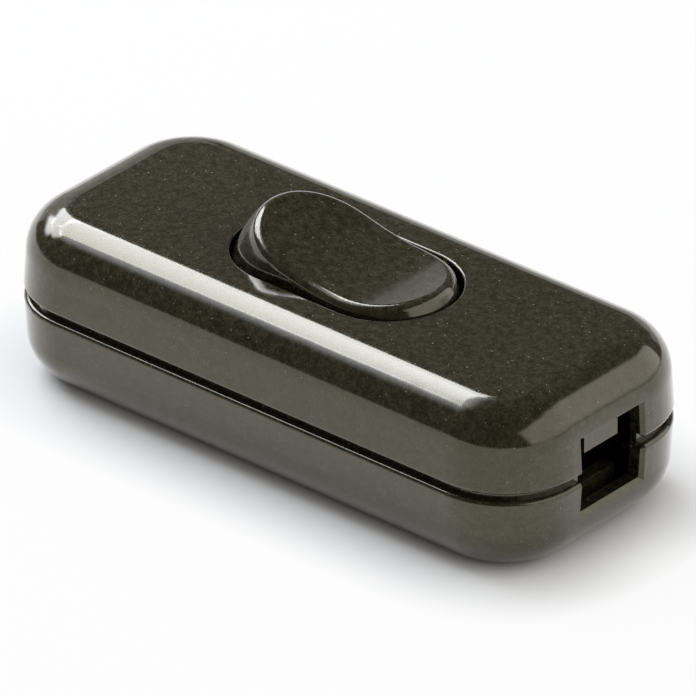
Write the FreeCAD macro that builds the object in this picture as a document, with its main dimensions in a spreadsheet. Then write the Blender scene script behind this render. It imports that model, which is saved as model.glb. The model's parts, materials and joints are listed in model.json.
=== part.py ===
import FreeCAD, Part
import Sketcher
import math
import os
import re

# Inline cord switch: a two-part housing, a rocker on trunnions, a spring plunger,
# a see-saw contact and the terminals for a three-core flex.
# Frame: origin under the middle of the housing, X along the cord, Z up, millimetres.

SIZES = [
    # Housing outline.
    ("body_length", 60.0, "length of the housing at the parting line"),
    ("body_width", 26.0, "width of the housing at the parting line"),
    ("housing_height", 16.0, "underside to top face"),
    ("parting_height", 8.0, "height where the two halves meet"),
    ("shadow_gap", 0.7, "height of the groove between the halves"),
    ("brim_round", 0.4, "round on the outer edges of the groove"),
    ("plan_radius", 7.8, "corner radius seen from above"),
    ("draft", 3.6, "mould draft of the side walls in degrees"),
    ("base_edge_round", 4.1, "round along the lower edge"),
    ("cover_edge_round", 4.3, "round along the upper edge"),
    ("wall", 1.5, "thickness of the side walls"),
    ("floor_thick", 1.8, "thickness of the base floor"),
    ("roof_thick", 1.8, "thickness of the cover roof"),
    ("inner_round_least", 0.5, "smallest round inside the shells"),
    ("tongue_height", 1.4, "height of the tongue above the groove"),
    ("tongue_thick", 0.7, "thickness of the tongue"),
    ("fit_gap", 0.1, "clearance between fixed mating faces"),
    ("run_gap", 0.15, "clearance between moving faces"),
    # Cord entries.
    ("entry_width", 7.8, "width of each cord entry"),
    ("entry_height", 7.1, "height of each cord entry"),
    ("entry_bevel", 0.35, "bevel round each cord entry"),
    ("grip_thick", 1.2, "thickness of the cord-grip tooth and rib"),
    ("tooth_width", 4.4, "width of the tooth in the cover"),
    ("tooth_rise", 1.15, "end of the tooth above the parting line"),
    ("tooth_root", 1.2, "root of the tooth in the wall over the entry"),
    ("rib_depth", 3.2, "rib in the base behind the outside of the end wall"),
    ("rib_drop", 3.1, "top of the rib below the parting line"),
    # Rocker and its opening.
    ("opening_length", 22.2, "length of the rocker opening"),
    ("opening_width", 13.0, "width of the rocker opening"),
    ("rim_round", 0.2, "round on the rim of the opening"),
    ("rocker_gap", 0.5, "gap between the rocker's sides and the rim"),
    ("end_gap", 0.3, "gap between the rocker's swinging ends and the rim"),
    ("rocker_wall", 1.3, "wall of the hollow rocker"),
    ("rocker_edge_round", 0.8, "round along the rocker's top edge"),
    ("rocker_rise", 1.0, "hollow of the rocker above the housing top"),
    ("dish_radius", 28.0, "radius of the rocker's hollow top"),
    ("rocker_tilt", 8.7, "tilt to each side in degrees"),
    ("pivot_height", 11.5, "height of the trunnion axis"),
    ("skirt_drop", 1.6, "rocker wall below its axis"),
    ("trunnion_dia", 2.4, "diameter of the trunnions"),
    ("cheek_width", 6.0, "length of each pivot cheek"),
    ("cheek_thick", 1.6, "thickness of each pivot cheek"),
    ("cheek_step", 0.3, "cheek set back from the opening"),
    ("cheek_drop", 2.4, "cheek below the trunnion axis"),
    ("web_thick", 1.0, "stiffening web inside the rocker"),
    # Spring plunger.
    ("tube_dia", 4.8, "outside of the spring tube"),
    ("tube_drop", 3.6, "end of the tube below the axis"),
    ("bore_rise", 2.6, "end of the bore above the axis"),
    ("plunger_dia", 2.6, "diameter of the plunger"),
    ("plunger_top", 1.8, "shoulder of the plunger below the axis"),
    ("spigot_dia", 1.1, "spring spigot on the plunger"),
    ("spigot_length", 1.0, "length of the spring spigot"),
    ("spring_wire", 0.36, "wire of the plunger spring"),
    ("spring_turns", 6.0, "turns of the plunger spring"),
    # See-saw contact.
    ("strip_thick", 0.8, "thickness of the brass strips"),
    ("strip_width", 4.0, "width of the brass strips and blade"),
    ("fulcrum_rise", 1.2, "see-saw axis above the fulcrum strip"),
    ("ridge_radius", 0.8, "radius of the fulcrum ridge"),
    ("blade_thick", 0.6, "thickness of the see-saw blade"),
    ("blade_reach", 7.6, "half length of the see-saw blade"),
    ("contact_offset", 6.0, "contacts from the fulcrum"),
    ("contact_dia", 2.4, "diameter of the contact heads"),
    ("contact_head", 0.5, "thickness of the moving contact head"),
    ("contact_shank", 1.4, "diameter of the rivet shanks"),
    ("contact_upset", 0.3, "upset end of the moving rivet"),
    # Terminals.
    ("pillar_offset", 15.5, "pillar terminals from the middle"),
    ("pillar_length", 6.0, "length of a pillar terminal"),
    ("pillar_width", 5.0, "width of a pillar terminal"),
    ("pillar_height", 5.0, "height of a pillar terminal"),
    ("stake_dia", 2.0, "staking stub under a pillar"),
    ("metal_bevel", 0.4, "bevel on the brass blocks"),
    ("wire_bore", 2.6, "bore for a stripped conductor"),
    ("barrel_inset", 5.4, "through connectors from the outside of the wall"),
    ("barrel_length", 20.0, "length of a through connector"),
    ("barrel_size", 4.6, "width and height of a through connector"),
    ("barrel_seat", 3.0, "height of the seats for the connectors"),
    ("barrel_screw", 2.0, "connector screws from the ends of their connector"),
    ("cradle_offset", 3.0, "cradle ribs from the middle"),
    ("cradle_thick", 1.4, "thickness of the cradle ribs"),
    ("cradle_side", 0.7, "side walls of the cradle ribs"),
    ("cradle_depth", 1.6, "depth of the cradle notch"),
    ("guide_thick", 0.9, "guides beside the strips"),
    ("clamp_dia", 2.3, "shank of a terminal screw"),
    ("clamp_head", 3.4, "head of a terminal screw"),
    ("clamp_head_height", 1.2, "head height of a terminal screw"),
    ("clamp_lift", 0.6, "head above its terminal when open"),
    ("clamp_reach", 2.2, "shank below the head underside"),
    ("slot_width", 0.6, "driver slot width"),
    ("slot_depth", 0.6, "driver slot depth"),
    # Housing screws and locating pegs.
    ("screw_inset", 10.0, "housing screws from the ends"),
    ("screw_side", 6.6, "housing screws from the sides"),
    ("boss_dia", 4.8, "screw bosses and columns"),
    ("screw_dia", 2.5, "shank of a housing screw"),
    ("screw_length", 10.0, "shank length of a housing screw"),
    ("screw_point", 1.2, "conical point of a housing screw"),
    ("screw_head", 4.6, "head of a housing screw"),
    ("screw_head_height", 1.6, "head height of a housing screw"),
    ("screw_head_round", 0.5, "round on the screw head"),
    ("well_dia", 5.2, "screw well in the underside"),
    ("well_depth", 2.4, "depth of the screw well"),
    ("well_wall", 0.9, "plastic round and above the screw well"),
    ("cross_length", 2.6, "length of the cross recess"),
    ("cross_width", 0.6, "width of the cross recess"),
    ("cross_depth", 0.9, "depth of the cross recess"),
    ("peg_dia", 2.0, "locating pegs"),
    ("peg_length", 2.4, "length of the locating pegs"),
]

ALIASES = {name for name, _, _ in SIZES}

doc = FreeCAD.newDocument("InlineCordSwitch")
sheet = doc.addObject("Spreadsheet::Sheet", "Sizes")
for row, (name, size, note) in enumerate(SIZES, start=1):
    sheet.set("A%d" % row, note)
    sheet.set("B%d" % row, str(size))
    sheet.setAlias("B%d" % row, name)
doc.recompute()

# Levels that several pieces share, written once from the sheet.
COVER_FOOT = "(parting_height + shadow_gap / 2)"
BASE_BRIM = "(parting_height - shadow_gap / 2)"
ROOF_INSIDE = "(housing_height - roof_thick)"
ROOF_MIDDLE = "(housing_height - roof_thick / 2)"
ROUND_LIMIT = " - entry_height / 2 - entry_bevel - fit_gap) / (1 - sin(draft)))"
COVER_ROUND = "min(cover_edge_round; (housing_height - parting_height" + ROUND_LIMIT
BASE_ROUND = "min(base_edge_round; (parting_height" + ROUND_LIMIT
BARREL_Y = "(body_width / 2 - barrel_inset)"
SCREW_X = "(body_length / 2 - screw_inset)"
SCREW_Y = "(body_width / 2 - screw_side)"
STRIP_TOP = "(floor_thick + strip_thick)"
FULCRUM = "(floor_thick + strip_thick + fulcrum_rise)"
BLADE_FOOT = "(ridge_radius + run_gap)"
BLADE_TOP = "(ridge_radius + run_gap + blade_thick)"
ROCKER_WIDTH = "(opening_width - 2 * rocker_gap)"
ROCKER_HOLLOW = "(housing_height - pivot_height + rocker_rise)"
RIM_RISE = "(housing_height - pivot_height)"
ROCKER_REACH = "sqrt((opening_length / 2 - end_gap)^2 + %s^2)" % RIM_RISE
ROCKER_ROOF = "(%s - rocker_wall)" % ROCKER_HOLLOW
ROCKER_INSIDE = "(sqrt(%s^2 - %s^2) - rocker_wall)" % (ROCKER_REACH, ROCKER_ROOF)
CHEEK_INNER = "(opening_width / 2 + cheek_step)"
CHEEK_OUTER = "(opening_width / 2 + cheek_step + cheek_thick)"
NOSE = "plunger_dia / 2"
NOSE_ROOM = "(%s + %s + run_gap)" % (BLADE_TOP, NOSE)
NOSE_DROP = "((pivot_height - %s) * cos(rocker_tilt) - %s)" % (FULCRUM, NOSE_ROOM)
PLUNGER_TIP = "(%s + %s / cos(2 * rocker_tilt))" % (NOSE, NOSE_DROP)
PILLAR_TOP = "(floor_thick + strip_thick + pillar_height)"
BARREL_TOP = "(barrel_seat + barrel_size)"
BARREL_TAP = "(barrel_length / 2 - barrel_screw)"


def full(formula):
    """Return the formula with each size name pointing at its cell."""
    def point(match):
        word = match.group(0)
        return "Sizes." + word if word in ALIASES else word
    return re.sub(r"[a-z_]+", point, formula)


def number(formula):
    """Return the present value of a formula in millimetres or degrees."""
    return float(sheet.evalExpression(full(formula)))


def bind(item, name, formula):
    """Drive one property by a formula of the sheet."""
    item.setExpression(name, full(formula))


def new_body(label):
    """Start a body whose label names its file."""
    body = doc.addObject("PartDesign::Body", label)
    body.Label = label
    return body


def new_sketch(body, name, role, offset="0", shift="0"):
    """Attach a sketch to an origin plane of its body, offset along the normal."""
    sketch = body.newObject("Sketcher::SketchObject", name)
    plane = [item for item in body.Origin.OriginFeatures if item.Role == role][0]
    sketch.AttachmentSupport = [(plane, "")]
    sketch.MapMode = "FlatFace"
    bind(sketch, "AttachmentOffset.Base.z", offset)
    bind(sketch, "AttachmentOffset.Base.x", shift)
    return sketch


def fix(sketch, kind, geometry, point, formula):
    """Constrain one coordinate or radius of the sketch to a formula."""
    value = number(formula)
    if point is None:
        index = sketch.addConstraint(Sketcher.Constraint(kind, geometry, value))
    else:
        index = sketch.addConstraint(Sketcher.Constraint(kind, geometry, point, value))
    bind(sketch, "Constraints[%d]" % index, formula)


def draw_loop(sketch, corners):
    """Draw a closed loop; a corner is (x, y) or (x, y, radius, turn) before an arc."""
    ends = []
    places = [FreeCAD.Vector(number(c[0]), number(c[1]), 0) for c in corners]
    for index, corner in enumerate(corners):
        start = places[index]
        stop = places[(index + 1) % len(places)]
        if len(corner) == 2:
            item = sketch.addGeometry(Part.LineSegment(start, stop), False)
            ends.append((item, 1, 2))
        else:
            radius = number(corner[2])
            chord = stop - start
            height = math.sqrt(max(radius ** 2 - (chord.Length / 2) ** 2, 0.0))
            side = FreeCAD.Vector(-chord.y, chord.x, 0).normalize() * height * corner[3]
            centre = start + chord * 0.5 + side
            first, last = (start, stop) if corner[3] > 0 else (stop, start)
            angles = [math.atan2(p.y - centre.y, p.x - centre.x) for p in (first, last)]
            circle = Part.Circle(centre, FreeCAD.Vector(0, 0, 1), radius)
            item = sketch.addGeometry(Part.ArcOfCircle(circle, angles[0], angles[1]), False)
            ends.append((item, 1, 2) if corner[3] > 0 else (item, 2, 1))
    for index, corner in enumerate(corners):
        item, start, _ = ends[index]
        before, _, stop = ends[index - 1]
        sketch.addConstraint(Sketcher.Constraint("Coincident", before, stop, item, start))
        fix(sketch, "DistanceX", item, start, corner[0])
        fix(sketch, "DistanceY", item, start, corner[1])
        if len(corner) == 4:
            fix(sketch, "Radius", item, None, corner[2])


def draw_box(sketch, x_low, x_high, y_low, y_high):
    """Draw a rectangle from its four sides."""
    draw_loop(sketch, [(x_low, y_low), (x_high, y_low), (x_high, y_high), (x_low, y_high)])


def draw_rounded(sketch, length, width, radius):
    """Draw a centred rectangle with round corners."""
    x = "(%s) / 2" % length
    y = "(%s) / 2" % width
    r = "(%s)" % radius
    xi = "(%s - %s)" % (x, r)
    yi = "(%s - %s)" % (y, r)
    draw_loop(sketch, [
        ("-" + xi, "-(%s)" % y),
        (xi, "-(%s)" % y, r, 1),
        (x, "-" + yi),
        (x, yi, r, 1),
        (xi, y),
        ("-" + xi, y, r, 1),
        ("-(%s)" % x, yi),
        ("-(%s)" % x, "-" + yi, r, 1),
    ])


def draw_slot(sketch, length, width):
    """Draw a centred slot with half-round ends."""
    x = "(%s) / 2" % length
    r = "(%s) / 2" % width
    xi = "(%s - %s)" % (x, r)
    draw_loop(sketch, [
        ("-" + xi, "-(%s)" % r),
        (xi, "-(%s)" % r, r, 1),
        (x, "0", r, 1),
        (xi, r),
        ("-" + xi, r, r, 1),
        ("-(%s)" % x, "0", r, 1),
    ])


def draw_circle(sketch, x, y, diameter):
    """Draw one circle by its centre and diameter."""
    centre = FreeCAD.Vector(number(x), number(y), 0)
    circle = Part.Circle(centre, FreeCAD.Vector(0, 0, 1), number(diameter) / 2)
    item = sketch.addGeometry(circle, False)
    fix(sketch, "DistanceX", item, 3, x)
    fix(sketch, "DistanceY", item, 3, y)
    fix(sketch, "Diameter", item, None, diameter)


def extrude(kind, body, sketch, length, flip=False, both=False, taper=None):
    """Pad or pocket a sketch along its normal."""
    feature = body.newObject("PartDesign::" + kind, sketch.Name + kind)
    feature.Profile = sketch
    bind(feature, "Length", length)
    feature.Reversed = flip
    if both:
        feature.SideType = "Symmetric"
    if taper:
        bind(feature, "TaperAngle", taper)
    doc.recompute()
    return feature


def soften(kind, body, name, feature, size, chosen):
    """Round or bevel the edges of the feature that the test picks out."""
    edges = ["Edge%d" % i for i, e in enumerate(feature.Shape.Edges, start=1) if chosen(e)]
    item = body.newObject("PartDesign::" + kind, name)
    item.Base = (feature, edges)
    bind(item, "Radius" if kind == "Fillet" else "Size", size)
    doc.recompute()
    return item


def middle(edge):
    """Return the point half way along an edge."""
    return edge.valueAt((edge.FirstParameter + edge.LastParameter) / 2)


def level(height):
    """Return a test for edges that lie at one height."""
    z = number(height)
    return lambda edge: all(abs(v.Z - z) < 1e-4 for v in edge.Vertexes)


def revolve(body, sketch):
    """Turn a half profile once round the sketch's upright axis."""
    feature = body.newObject("PartDesign::Revolution", sketch.Name + "Turn")
    feature.Profile = sketch
    feature.ReferenceAxis = (sketch, ["V_Axis"])
    feature.Angle = 360.0
    doc.recompute()
    return feature


def set_tilted(body, height, angle):
    """Place a body that is drawn about its own axis at its height and rest angle."""
    body.Placement = FreeCAD.Placement(
        FreeCAD.Vector(0, 0, 0), FreeCAD.Rotation(FreeCAD.Vector(0, 1, 0), 1.0))
    bind(body, "Placement.Base.z", height)
    bind(body, "Placement.Rotation.Angle", angle)


def on_entry_edge(edge):
    """Tell whether an edge borders a cord entry on the outside of the housing."""
    spot = middle(edge)
    rise = abs(spot.z - number("parting_height")) - number("shadow_gap / 2")
    face = number("body_length / 2") - rise * number("tan(draft)")
    out = abs(abs(spot.x) - face) < number("brim_round")
    side = abs(abs(spot.y) - number("entry_width / 2")) < 1e-4
    limit = number("entry_height / 2")
    cap = abs(abs(spot.z - number("parting_height")) - limit) < 1e-4
    return out and (side or (cap and abs(spot.y) < number("entry_width / 2")))


def draw_grips(sketch, depth, width):
    """Draw one cord-grip member behind each end wall."""
    near = "body_length / 2 - (%s) - grip_thick" % depth
    far = "body_length / 2 - (%s)" % depth
    side = "(%s) / 2" % width
    draw_box(sketch, near, far, "-" + side, side)
    draw_box(sketch, "-(%s)" % far, "-(%s)" % near, "-" + side, side)


def draw_at_screws(sketch, diameter):
    """Draw circles at the two housing screws."""
    draw_circle(sketch, SCREW_X, "-" + SCREW_Y, diameter)
    draw_circle(sketch, "-" + SCREW_X, SCREW_Y, diameter)


def draw_at_pegs(sketch, diameter):
    """Draw circles at the two locating pegs."""
    draw_circle(sketch, SCREW_X, SCREW_Y, diameter)
    draw_circle(sketch, "-" + SCREW_X, "-" + SCREW_Y, diameter)


def draw_inset(sketch, inset):
    """Draw the housing outline moved inwards."""
    draw_rounded(sketch, "body_length - 2 * (%s)" % inset,
                 "body_width - 2 * (%s)" % inset, "plan_radius - (%s)" % inset)


def build_cover():
    """Upper half: rounded shell, rocker opening, cheeks, teeth, bosses and pegs."""
    body = new_body("cover_shell")
    plan = new_sketch(body, "CoverPlan", "XY_Plane", COVER_FOOT)
    draw_inset(plan, "0")
    block = extrude("Pad", body, plan, "housing_height - " + COVER_FOOT, taper="-draft")
    block = soften("Fillet", body, "CoverRound", block, COVER_ROUND, level("housing_height"))
    soften("Fillet", body, "CoverFootRound", block, "brim_round", level(COVER_FOOT))
    hollow = new_sketch(body, "CoverHollow", "XY_Plane", COVER_FOOT)
    draw_inset(hollow, "wall")
    block = extrude("Pocket", body, hollow, ROOF_INSIDE + " - " + COVER_FOOT, flip=True,
                    taper="-draft")
    block = soften("Fillet", body, "CoverInnerRound", block,
                   "max(%s - wall; inner_round_least)" % COVER_ROUND, level(ROOF_INSIDE))
    rebate = new_sketch(body, "CoverRebate", "XY_Plane", COVER_FOOT)
    draw_inset(rebate, "wall - tongue_thick - fit_gap")
    extrude("Pocket", body, rebate, "tongue_height + fit_gap", flip=True)
    opening = new_sketch(body, "RockerOpening", "XY_Plane", "housing_height")
    draw_slot(opening, "opening_length", "opening_width")
    block = extrude("Pocket", body, opening, "2 * roof_thick",
                    taper="atan(2 * %s / opening_length)" % RIM_RISE)
    inside = number("opening_length / 2") + 1e-3
    at_top = level("housing_height")
    block = soften("Fillet", body, "RimRound", block, "rim_round",
                   lambda edge: at_top(edge) and abs(middle(edge).x) < inside
                   and abs(middle(edge).y) < number("opening_width / 2") + 1e-3)
    entry = new_sketch(body, "CoverEntry", "YZ_Plane")
    draw_box(entry, "-entry_width / 2", "entry_width / 2",
             BASE_BRIM, "parting_height + entry_height / 2")
    block = extrude("Pocket", body, entry, "body_length + 2 * wall", both=True)
    soften("Chamfer", body, "CoverEntryBevel", block, "entry_bevel", on_entry_edge)
    teeth = new_sketch(body, "CoverTeeth", "XY_Plane", "parting_height + tooth_rise")
    draw_grips(teeth, "wall", "tooth_width")
    extrude("Pad", body, teeth, "entry_height / 2 - tooth_rise + tooth_root")
    cheeks = new_sketch(body, "PivotCheeks", "XY_Plane", "pivot_height - cheek_drop")
    for low, high in ((CHEEK_INNER, CHEEK_OUTER), ("-" + CHEEK_OUTER, "-" + CHEEK_INNER)):
        draw_box(cheeks, "-cheek_width / 2", "cheek_width / 2", low, high)
    extrude("Pad", body, cheeks, ROOF_MIDDLE + " - pivot_height + cheek_drop")
    bearing = new_sketch(body, "TrunnionHoles", "XZ_Plane")
    draw_circle(bearing, "0", "pivot_height", "trunnion_dia + 2 * run_gap")
    extrude("Pocket", body, bearing, "2 * %s + 2 * fit_gap" % CHEEK_OUTER, both=True)
    bosses = new_sketch(body, "CoverBosses", "XY_Plane", "parting_height")
    draw_at_screws(bosses, "boss_dia")
    draw_at_pegs(bosses, "boss_dia")
    extrude("Pad", body, bosses, ROOF_MIDDLE + " - parting_height")
    pilots = new_sketch(body, "PilotHoles", "XY_Plane", "parting_height")
    draw_at_screws(pilots, "screw_dia + 2 * fit_gap")
    extrude("Pocket", body, pilots, ROOF_INSIDE + " - parting_height", flip=True)
    pegs = new_sketch(body, "LocatingPegs", "XY_Plane", "parting_height - peg_length")
    draw_at_pegs(pegs, "peg_dia")
    extrude("Pad", body, pegs, "peg_length + wall")
    return body


def draw_cradle(sketch, sign):
    """Draw the U-shaped rib section that holds a through connector."""
    half = "(barrel_size / 2 + fit_gap)"
    low = "floor_thick / 2"
    top = "barrel_seat + cradle_depth"
    inner = "%s - %s" % (BARREL_Y, half)
    outer = "%s + %s" % (BARREL_Y, half)
    corners = [
        (inner + " - cradle_side", low),
        (outer, low),
        (outer, "barrel_seat"),
        (inner, "barrel_seat"),
        (inner, top),
        (inner + " - cradle_side", top),
    ]
    if sign < 0:
        corners = [("-(%s)" % x, z) for x, z in reversed(corners)]
    draw_loop(sketch, corners)


def build_base():
    """Lower half: rounded shell, tongue, teeth, columns, screw wells and cradles."""
    body = new_body("base_shell")
    plan = new_sketch(body, "BasePlan", "XY_Plane", BASE_BRIM)
    draw_inset(plan, "0")
    block = extrude("Pad", body, plan, BASE_BRIM, flip=True, taper="-draft")
    block = soften("Fillet", body, "BaseRound", block, BASE_ROUND, level("0"))
    soften("Fillet", body, "BaseBrimRound", block, "brim_round", level(BASE_BRIM))
    hollow = new_sketch(body, "BaseHollow", "XY_Plane", BASE_BRIM)
    draw_inset(hollow, "wall")
    block = extrude("Pocket", body, hollow, BASE_BRIM + " - floor_thick", taper="-draft")
    soften("Fillet", body, "BaseInnerRound", block,
           "max(%s - wall; inner_round_least)" % BASE_ROUND, level("floor_thick"))
    tongue = new_sketch(body, "Tongue", "XY_Plane", BASE_BRIM)
    draw_inset(tongue, "wall - tongue_thick")
    draw_inset(tongue, "wall")
    extrude("Pad", body, tongue, "shadow_gap + tongue_height")
    entry = new_sketch(body, "BaseEntry", "YZ_Plane")
    draw_box(entry, "-entry_width / 2", "entry_width / 2",
             "parting_height - entry_height / 2", COVER_FOOT + " + 2 * tongue_height")
    block = extrude("Pocket", body, entry, "body_length + 2 * wall", both=True)
    soften("Chamfer", body, "BaseEntryBevel", block, "entry_bevel",
           lambda edge: on_entry_edge(edge) and middle(edge).z < number(BASE_BRIM))
    ribs = new_sketch(body, "BaseRibs", "XY_Plane", "floor_thick / 2")
    draw_grips(ribs, "rib_depth", "entry_width")
    extrude("Pad", body, ribs, "parting_height - rib_drop - floor_thick / 2")
    cups = new_sketch(body, "WellCups", "XY_Plane", "floor_thick / 2")
    draw_at_screws(cups, "well_dia + 2 * well_wall")
    extrude("Pad", body, cups, "well_depth + well_wall - floor_thick / 2")
    columns = new_sketch(body, "Columns", "XY_Plane", "floor_thick / 2")
    draw_at_screws(columns, "boss_dia")
    draw_at_pegs(columns, "boss_dia")
    extrude("Pad", body, columns, "parting_height - floor_thick / 2")
    wells = new_sketch(body, "ScrewWells", "XY_Plane")
    draw_at_screws(wells, "well_dia")
    extrude("Pocket", body, wells, "well_depth", flip=True)
    holes = new_sketch(body, "ScrewHoles", "XY_Plane")
    draw_at_screws(holes, "screw_dia + 4 * fit_gap")
    extrude("Pocket", body, holes, "parting_height + wall", flip=True)
    sockets = new_sketch(body, "PegSockets", "XY_Plane", "parting_height")
    draw_at_pegs(sockets, "peg_dia + 2 * fit_gap")
    extrude("Pocket", body, sockets, "peg_length + fit_gap")
    for side in (-1, 1):
        for end in (-1, 1):
            name = "Cradle%s%s" % ("Front" if side < 0 else "Back", "Left" if end < 0 else "Right")
            rib = new_sketch(body, name, "YZ_Plane", "%d * cradle_offset" % end)
            draw_cradle(rib, side)
            extrude("Pad", body, rib, "cradle_thick", flip=end < 0)
    guides = new_sketch(body, "StripGuides", "XY_Plane", "floor_thick / 2")
    near = "strip_width / 2 + fit_gap"
    span = ("contact_offset + contact_dia", "pillar_offset - pillar_length / 2")
    for low, high in (span, ("-(%s)" % span[1], "-(%s)" % span[0])):
        draw_box(guides, low, high, near, near + " + guide_thick")
        draw_box(guides, low, high, "-(%s + guide_thick)" % near, "-(%s)" % near)
    extrude("Pad", body, guides, STRIP_TOP + " - floor_thick / 2")
    return body


def build_rocker():
    """Rocker: round-ended wheel section with a dish, trunnions, hollow, web and tube."""
    body = new_body("rocker")
    half = new_sketch(body, "RockerHalf", "XY_Plane")
    side = ROCKER_WIDTH + " / 2"
    flat = "%s - %s" % (ROCKER_REACH, side)
    draw_loop(half, [
        ("0", "-" + side),
        (flat, "-" + side, side, 1),
        (ROCKER_REACH, "0", side, 1),
        (flat, side),
        ("0", side),
    ])
    revolve(body, half)
    rim_z = "%s + dish_radius - sqrt(dish_radius^2 - %s^2)" % (ROCKER_HOLLOW, ROCKER_REACH)
    dish = new_sketch(body, "RockerDish", "XZ_Plane")
    draw_loop(dish, [
        ("-" + ROCKER_REACH, rim_z, "dish_radius", 1),
        (ROCKER_REACH, rim_z),
        (ROCKER_REACH, "2 * " + ROCKER_REACH),
        ("-" + ROCKER_REACH, "2 * " + ROCKER_REACH),
    ])
    draw_box(dish, "-2 * " + ROCKER_REACH, "2 * " + ROCKER_REACH,
             "-2 * " + ROCKER_REACH, "-skirt_drop")
    block = extrude("Pocket", body, dish, "2 * opening_width", both=True)
    radius = number("dish_radius")
    hollow_z = number(ROCKER_HOLLOW)

    def on_dish(edge):
        spots = [middle(edge)] + [v.Point for v in edge.Vertexes]
        off = [abs(math.hypot(p.x, p.z - hollow_z - radius) - radius) for p in spots]
        return max(off) < 1e-3 and spots[0].z > hollow_z - 1e-3

    soften("Fillet", body, "RockerRound", block, "rocker_edge_round", on_dish)
    pins = new_sketch(body, "Trunnions", "XZ_Plane")
    draw_circle(pins, "0", "0", "trunnion_dia")
    extrude("Pad", body, pins, "2 * %s - 2 * fit_gap" % CHEEK_OUTER, both=True)
    hollow = new_sketch(body, "RockerInside", "XY_Plane", "-skirt_drop")
    draw_slot(hollow, "2 * " + ROCKER_INSIDE, ROCKER_WIDTH + " - 2 * rocker_wall")
    extrude("Pocket", body, hollow, "skirt_drop + " + ROCKER_ROOF, flip=True)
    web = new_sketch(body, "RockerWeb", "XY_Plane")
    draw_box(web, "-(%s + rocker_wall / 2)" % ROCKER_INSIDE,
             "%s + rocker_wall / 2" % ROCKER_INSIDE, "-web_thick / 2", "web_thick / 2")
    extrude("Pad", body, web, ROCKER_HOLLOW + " - rocker_wall / 2")
    tube = new_sketch(body, "SpringTube", "XY_Plane", "-tube_drop")
    draw_circle(tube, "0", "0", "tube_dia")
    extrude("Pad", body, tube, "tube_drop + %s - rocker_wall / 2" % ROCKER_HOLLOW)
    bore = new_sketch(body, "SpringBore", "XY_Plane", "-tube_drop")
    draw_circle(bore, "0", "0", "plunger_dia + 2 * run_gap")
    extrude("Pocket", body, bore, "tube_drop + bore_rise", flip=True)
    set_tilted(body, "pivot_height", "rocker_tilt")
    return body


def build_plunger():
    """Plunger: round-nosed pin with a spigot for the spring."""
    body = new_body("plunger")
    half = new_sketch(body, "PlungerHalf", "XZ_Plane")
    radius = "plunger_dia / 2"
    draw_loop(half, [
        ("0", "-" + PLUNGER_TIP, radius, 1),
        (radius, "-%s + %s" % (PLUNGER_TIP, radius)),
        (radius, "-plunger_top"),
        ("spigot_dia / 2", "-plunger_top"),
        ("spigot_dia / 2", "spigot_length - plunger_top"),
        ("0", "spigot_length - plunger_top"),
    ])
    revolve(body, half)
    set_tilted(body, "pivot_height", "rocker_tilt")
    return body


def build_spring():
    """Compression spring between the plunger and the end of its bore."""
    body = new_body("plunger_spring")
    wire = new_sketch(body, "SpringWire", "XZ_Plane")
    draw_circle(wire, "(plunger_dia - spring_wire - fit_gap) / 2",
                "spring_wire / 2 - plunger_top", "spring_wire")
    coil = body.newObject("PartDesign::AdditiveHelix", "SpringCoil")
    coil.Profile = wire
    coil.ReferenceAxis = (wire, ["V_Axis"])
    coil.Mode = "height-turns-angle"
    bind(coil, "Height", "bore_rise + plunger_top - spring_wire")
    bind(coil, "Turns", "spring_turns")
    doc.recompute()
    set_tilted(body, "pivot_height", "rocker_tilt")
    return body


def build_blade():
    """See-saw blade that rocks on the fulcrum ridge."""
    body = new_body("see_saw_blade")
    side = new_sketch(body, "BladeSide", "XZ_Plane")
    draw_box(side, "-blade_reach", "blade_reach", BLADE_FOOT, BLADE_TOP)
    block = extrude("Pad", body, side, "strip_width", both=True)
    reach = number("blade_reach") - 1e-3

    def end_edge(edge):
        tall = abs(edge.Vertexes[0].Z - edge.Vertexes[-1].Z) > 1e-3
        return tall and abs(middle(edge).x) > reach

    soften("Fillet", body, "BladeEnds", block, "strip_width / 4", end_edge)
    hole = new_sketch(body, "BladeHole", "XY_Plane", shift="contact_offset")
    draw_circle(hole, "0", "0", "contact_shank")
    extrude("Pocket", body, hole, BLADE_TOP + " + wall", flip=True)
    set_tilted(body, FULCRUM, "-rocker_tilt")
    return body


def build_moving_contact():
    """Silver rivet through the blade."""
    body = new_body("moving_contact")
    half = new_sketch(body, "MovingHalf", "XZ_Plane", shift="contact_offset")
    draw_loop(half, [
        ("0", BLADE_FOOT + " - contact_head"),
        ("contact_dia / 2", BLADE_FOOT + " - contact_head"),
        ("contact_dia / 2", BLADE_FOOT),
        ("contact_shank / 2", BLADE_FOOT),
        ("contact_shank / 2", BLADE_TOP),
        ("contact_shank / 2 + contact_upset", BLADE_TOP),
        ("contact_shank / 2", BLADE_TOP + " + contact_upset"),
        ("0", BLADE_TOP + " + contact_upset"),
    ])
    revolve(body, half)
    set_tilted(body, FULCRUM, "-rocker_tilt")
    return body


def build_fixed_contact():
    """Silver rivet in the contact strip, clear of the closed blade."""
    body = new_body("fixed_contact")
    drop = "(contact_offset + contact_dia / 2) * sin(rocker_tilt)"
    under = "(%s - contact_head) * cos(rocker_tilt)" % BLADE_FOOT
    top = "%s + %s - %s - run_gap" % (FULCRUM, under, drop)
    half = new_sketch(body, "FixedHalf", "XZ_Plane", shift="contact_offset")
    draw_loop(half, [
        ("0", "floor_thick"),
        ("contact_shank / 2", "floor_thick"),
        ("contact_shank / 2", STRIP_TOP),
        ("contact_dia / 2", STRIP_TOP),
        ("contact_dia / 2", top),
        ("0", top),
    ])
    revolve(body, half)
    return body


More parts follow.
